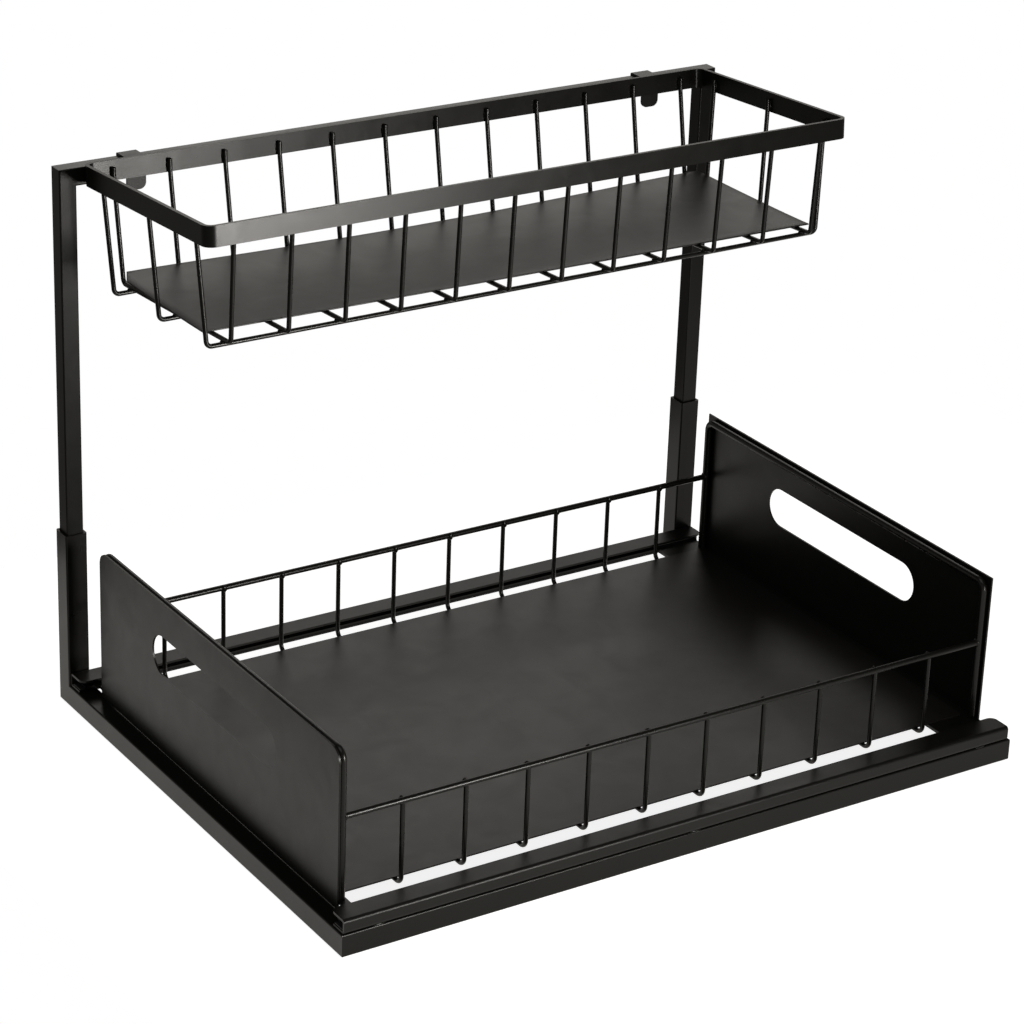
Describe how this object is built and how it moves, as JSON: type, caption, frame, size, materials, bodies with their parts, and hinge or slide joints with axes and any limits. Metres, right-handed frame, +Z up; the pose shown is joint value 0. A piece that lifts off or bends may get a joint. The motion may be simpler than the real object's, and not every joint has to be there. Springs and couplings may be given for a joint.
{
  "type": "under sink organizer",
  "caption": "Two-tier black steel organizer: a tray slides out to the side along floor tracks, and a wire basket hangs on a tube frame above its back half.",
  "frame": {"origin": "middle of the footprint, on the surface that the base stands on", "axes": "+X along the long side, away from the end that the tray pulls out of, +Y from the front to the tube frame at the back, +Z up"},
  "size_m": [0.4, 0.3, 0.3058],
  "materials": {
    "frame_coat": "satin black powder coat",
    "sheet_coat": "satin black powder coat on sheet",
    "liner_coat": "smooth satin black coat on the loose plates",
    "wire_coat": "glossier black powder coat on wire",
    "nylon": "plain black nylon"
  },
  "bodies": {
    "base": {"front_lower_tube": "frame_coat", "left_base_bar": "frame_coat", "right_base_bar": "frame_coat", "left_sleeve": "frame_coat", "right_sleeve": "frame_coat", "front_track": "sheet_coat", "rear_track": "sheet_coat", "track_mouth_pads": "nylon"},
    "upper_frame": {"left_upright": "frame_coat", "right_upright": "frame_coat", "top_bar": "frame_coat"},
    "tray": {"tray_left_panel": "sheet_coat", "tray_right_panel": "sheet_coat", "tray_left_loop": "wire_coat", "tray_right_loop": "wire_coat", "tray_front_rail": "wire_coat", "tray_rear_rail": "wire_coat", "tray_cross_wires": "wire_coat", "tray_carrier_plate": "sheet_coat", "front_runner": "sheet_coat", "rear_runner": "sheet_coat", "pull_end_brackets": "sheet_coat", "runner_shoes": "nylon"},
    "tray_plate": {"tray_liner": "liner_coat"},
    "basket": {"basket_rim": "frame_coat", "basket_cross_wires": "wire_coat", "basket_long_wires": "wire_coat", "left_hook_clip": "sheet_coat", "right_hook_clip": "sheet_coat"},
    "basket_plate": {"basket_liner": "liner_coat"}
  },
  "joints": [
    {"name": "tray_slide", "type": "slide", "parent": "base", "child": "tray", "axis": [-1, 0, 0], "range_m": [0, 0.26]},
    {"name": "tray_plate_lift", "type": "slide", "parent": "tray", "child": "tray_plate", "axis": [0, 0, 1], "range_m": [0, 0.1]},
    {"name": "upper_frame_lift", "type": "slide", "parent": "base", "child": "upper_frame", "axis": [0, 0, 1], "range_m": [0, 0.1]},
    {"name": "basket_lift", "type": "slide", "parent": "upper_frame", "child": "basket", "axis": [0, 0, 1], "range_m": [0, 0.06]},
    {"name": "basket_plate_lift", "type": "slide", "parent": "basket", "child": "basket_plate", "axis": [0, 0, 1], "range_m": [0, 0.08]}
  ]
}
